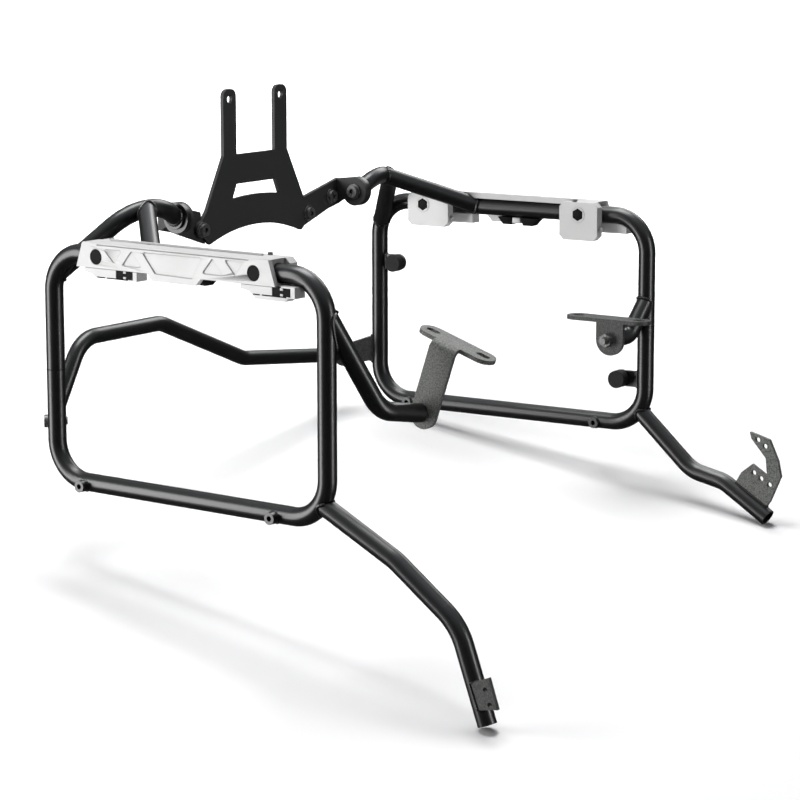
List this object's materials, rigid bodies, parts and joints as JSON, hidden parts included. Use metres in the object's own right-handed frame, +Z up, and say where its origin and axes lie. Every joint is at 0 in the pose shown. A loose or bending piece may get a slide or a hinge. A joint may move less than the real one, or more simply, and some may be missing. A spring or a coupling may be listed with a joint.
{
  "type": "pannier frame",
  "caption": "Black tubular pannier carrier for a motorbike tail: two side hoops with aluminium mount bars, a notched tail plate, a cross tube and bolt-on front stays.",
  "frame": {"origin": "midway between the two holes of the tail plate, on the front face of that plate", "axes": "+X to the front of the motorbike, +Y to its left, +Z up"},
  "size_m": [0.5811, 0.606, 0.5335],
  "materials": {
    "coat": "satin black powder coat",
    "coat_grey": "fine textured dark grey powder coat",
    "cast": "satin",
    "zinc": "black zinc",
    "rubber": "matt black"
  },
  "bodies": {
    "root": {"right_hoop": "coat", "left_hoop": "coat", "right_bushes": "coat", "left_bushes": "coat", "tail_plate": "coat", "right_link_plate": "coat", "left_link_plate": "coat", "link_bolts": "zinc", "right_stay_flange": "coat", "left_stay_flange": "coat", "flange_bolts": "zinc", "right_upper_stay": "coat", "left_upper_stay": "coat", "right_brace": "coat", "left_brace": "coat", "right_cross_bracket": "coat_grey", "left_cross_bracket": "coat_grey", "cross_tube": "coat", "cross_bolts": "zinc", "right_mid_stay": "coat", "left_mid_stay": "coat", "right_mid_bracket": "coat_grey", "left_mid_bracket": "coat_grey", "mid_bolts": "zinc", "right_front_leg": "coat", "left_front_leg": "coat", "right_foot_plate": "coat_grey", "left_foot_plate": "coat_grey", "buffer_tabs": "coat", "buffers": "rubber", "right_mount_bar": "cast", "left_mount_bar": "cast", "right_latch_blocks": "cast", "left_latch_blocks": "cast", "latch_inserts": "rubber", "right_inner_clamps": "cast", "left_inner_clamps": "cast", "right_clamp_bolts": "zinc", "left_clamp_bolts": "zinc", "hole_plugs": "rubber"}
  },
  "joints": []
}
